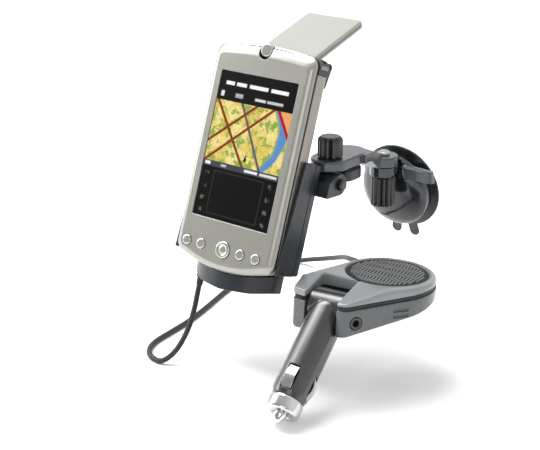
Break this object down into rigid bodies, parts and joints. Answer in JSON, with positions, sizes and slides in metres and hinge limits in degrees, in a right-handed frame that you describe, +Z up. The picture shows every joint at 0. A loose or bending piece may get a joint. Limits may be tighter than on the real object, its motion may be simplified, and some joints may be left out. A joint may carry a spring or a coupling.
{
  "type": "personal digital assistant",
  "caption": "Handheld organiser with a fold-up aerial, docked in a powered cradle on a suction arm, with a cord to a speaker adapter and a folding 12 volt plug.",
  "frame": {"origin": "centre of the suction cup's face on the glass", "axes": "+Z is up, the screen faces -Y and leans back, and +X is to the right of someone looking at the screen"},
  "size_m": [0.1809, 0.1982, 0.189],
  "materials": {
    "shell_silver": "satin champagne silver",
    "shell_rear": "satin",
    "seam_dark": "matte",
    "button_pearl": "pearl",
    "screen": "gloss over a display",
    "inner_metal": "plain",
    "board": "circuit board",
    "wrap": "film wrap",
    "contact_black": "matte",
    "stylus_black": "gloss",
    "aerial_grey": "satin",
    "ceramic": "matte",
    "cradle_slate": "fine grain",
    "arm_slate": "satin",
    "knob_black": "satin",
    "steel": "bright",
    "cup_rubber": "satin",
    "relief_rubber": "matte",
    "mount_slate": "gloss",
    "lever_grey": "satin",
    "brass": "plain",
    "adapter_grey": "satin",
    "adapter_seam": "matte",
    "grille": "ribbed",
    "plug_black": "gloss",
    "nickel": "bright",
    "fuse_glass": "clear",
    "cord": "matte"
  },
  "bodies": {
    "mount": {"suction_cup": "cup_rubber", "mount_housing": "mount_slate", "lever_pin": "steel"},
    "lever": {"release_lever": "lever_grey"},
    "rod": {"pull_rod": "brass"},
    "lower_knob": {"ribbed_knob": "knob_black", "pivot_screw": "steel"},
    "arm": {"arm": "arm_slate"},
    "upper_knob": {"swivel_knob": "knob_black", "swivel_stud": "steel"},
    "tilt": {"tilt_block": "cradle_slate"},
    "cradle": {"cradle_tray": "cradle_slate", "cradle_rear_cover": "cradle_slate", "cradle_foot": "cradle_slate", "cradle_board": "board", "cover_screw_1": "steel", "cover_screw_2": "steel", "dock_plug": "contact_black", "cradle_relief": "relief_rubber", "cradle_bracket": "cradle_slate", "tilt_bolt": "steel", "power_cord": "cord", "adapter_bottom": "adapter_grey", "adapter_top": "adapter_grey", "adapter_band": "adapter_seam", "adapter_board": "board", "speaker_grille": "grille", "speaker_driver": "contact_black", "jack_ring": "adapter_seam", "adapter_relief": "relief_rubber", "plug_pin": "steel"},
    "plug": {"plug_barrel": "plug_black", "plug_nose": "nickel", "fuse": "fuse_glass"},
    "tip": {"plug_tip": "nickel"},
    "contact_top": {"plug_contact_top": "nickel"},
    "contact_side": {"plug_contact_side": "nickel"},
    "handheld": {"front_shell": "shell_silver", "mid_frame": "seam_dark", "rear_shell": "shell_rear", "screen_lens": "screen", "lcd_module": "inner_metal", "main_board": "board", "battery": "wrap", "speaker": "inner_metal", "dock_socket": "contact_black", "hinge_cheek_left": "stylus_black", "hinge_cheek_right": "stylus_black", "aerial_pin": "steel"},
    "aerial": {"aerial_base": "aerial_grey", "aerial_cover": "aerial_grey", "patch_aerial": "ceramic"},
    "power": {"power_button": "button_pearl"},
    "nav": {"nav_button": "button_pearl"},
    "stylus": {"stylus": "stylus_black"},
    "app_1": {"app_button_1": "button_pearl"},
    "app_2": {"app_button_2": "button_pearl"},
    "app_3": {"app_button_3": "button_pearl"},
    "app_4": {"app_button_4": "button_pearl"}
  },
  "joints": [
    {"name": "lever_turn", "type": "hinge", "parent": "mount", "child": "lever", "pos_m": [0.0115, -0.01424, 0.0141], "axis": [0, -0.2079, 0.9781], "range_deg": [-60, 0]},
    {"name": "rod_pull", "type": "slide", "parent": "mount", "child": "rod", "axis": [0, 0.9781, 0.2079], "range_m": [0, 0.002]},
    {"name": "lower_knob_turn", "type": "hinge", "parent": "mount", "child": "lower_knob", "pos_m": [0.004, -0.027, 0], "axis": [0, 0, 1], "range_deg": [0, 180]},
    {"name": "arm_swing", "type": "hinge", "parent": "mount", "child": "arm", "pos_m": [0.004, -0.027, 0], "axis": [0, 0, 1], "range_deg": [-12, 12]},
    {"name": "upper_knob_turn", "type": "hinge", "parent": "arm", "child": "upper_knob", "pos_m": [-0.0065, -0.0665, 0], "axis": [0, 0, 1], "range_deg": [0, 180]},
    {"name": "cradle_swivel", "type": "hinge", "parent": "arm", "child": "tilt", "pos_m": [-0.0065, -0.0665, 0], "axis": [0, 0, 1], "range_deg": [-20, 20]},
    {"name": "cradle_tilt", "type": "hinge", "parent": "tilt", "child": "cradle", "pos_m": [-0.0065, -0.072, 0.0195], "axis": [1, 0, 0], "range_deg": [-4, 15]},
    {"name": "plug_fold", "type": "hinge", "parent": "cradle", "child": "plug", "pos_m": [0.02543, -0.10711, -0.03753], "axis": [0.9925, 0.1219, 0], "range_deg": [-42, 45]},
    {"name": "tip_push", "type": "slide", "parent": "plug", "child": "tip", "axis": [-0.096, 0.7821, 0.6157], "range_m": [0, 0.004], "stiffness_N_per_m": 800},
    {"name": "contact_top_push", "type": "slide", "parent": "plug", "child": "contact_top", "axis": [-0.1613, 0.5984, -0.7848], "range_m": [0, 0.001], "stiffness_N_per_m": 600},
    {"name": "contact_side_push", "type": "slide", "parent": "plug", "child": "contact_side", "axis": [-0.9393, -0.276, 0.2039], "range_m": [0, 0.001], "stiffness_N_per_m": 600},
    {"name": "handheld_lift", "type": "slide", "parent": "cradle", "child": "handheld", "axis": [0, 0.3371, 0.9415], "range_m": [0, 0.09]},
    {"name": "aerial_fold", "type": "hinge", "parent": "handheld", "child": "aerial", "pos_m": [-0.04, -0.06742, 0.08405], "axis": [1, 0, 0], "range_deg": [-126, 30]},
    {"name": "power_press", "type": "slide", "parent": "handheld", "child": "power", "axis": [0, -0.3371, -0.9415], "range_m": [0, 0.0008], "stiffness_N_per_m": 500},
    {"name": "nav_press", "type": "slide", "parent": "handheld", "child": "nav", "axis": [0, 0.9415, -0.3371], "range_m": [0, 0.0008], "stiffness_N_per_m": 500},
    {"name": "app_1_press", "type": "slide", "parent": "handheld", "child": "app_1", "axis": [0, 0.9415, -0.3371], "range_m": [0, 0.0008], "stiffness_N_per_m": 500},
    {"name": "app_2_press", "type": "slide", "parent": "handheld", "child": "app_2", "axis": [0, 0.9415, -0.3371], "range_m": [0, 0.0008], "stiffness_N_per_m": 500},
    {"name": "app_3_press", "type": "slide", "parent": "handheld", "child": "app_3", "axis": [0, 0.9415, -0.3371], "range_m": [0, 0.0008], "stiffness_N_per_m": 500},
    {"name": "app_4_press", "type": "slide", "parent": "handheld", "child": "app_4", "axis": [0, 0.9415, -0.3371], "range_m": [0, 0.0008], "stiffness_N_per_m": 500},
    {"name": "stylus_pull", "type": "slide", "parent": "handheld", "child": "stylus", "axis": [0, 0.3371, 0.9415], "range_m": [0, 0.105]}
  ],
  "couplings": [
    {"joint": "rod_pull", "follows": "lever_turn", "m_per_rad": -0.0019}
  ]
}
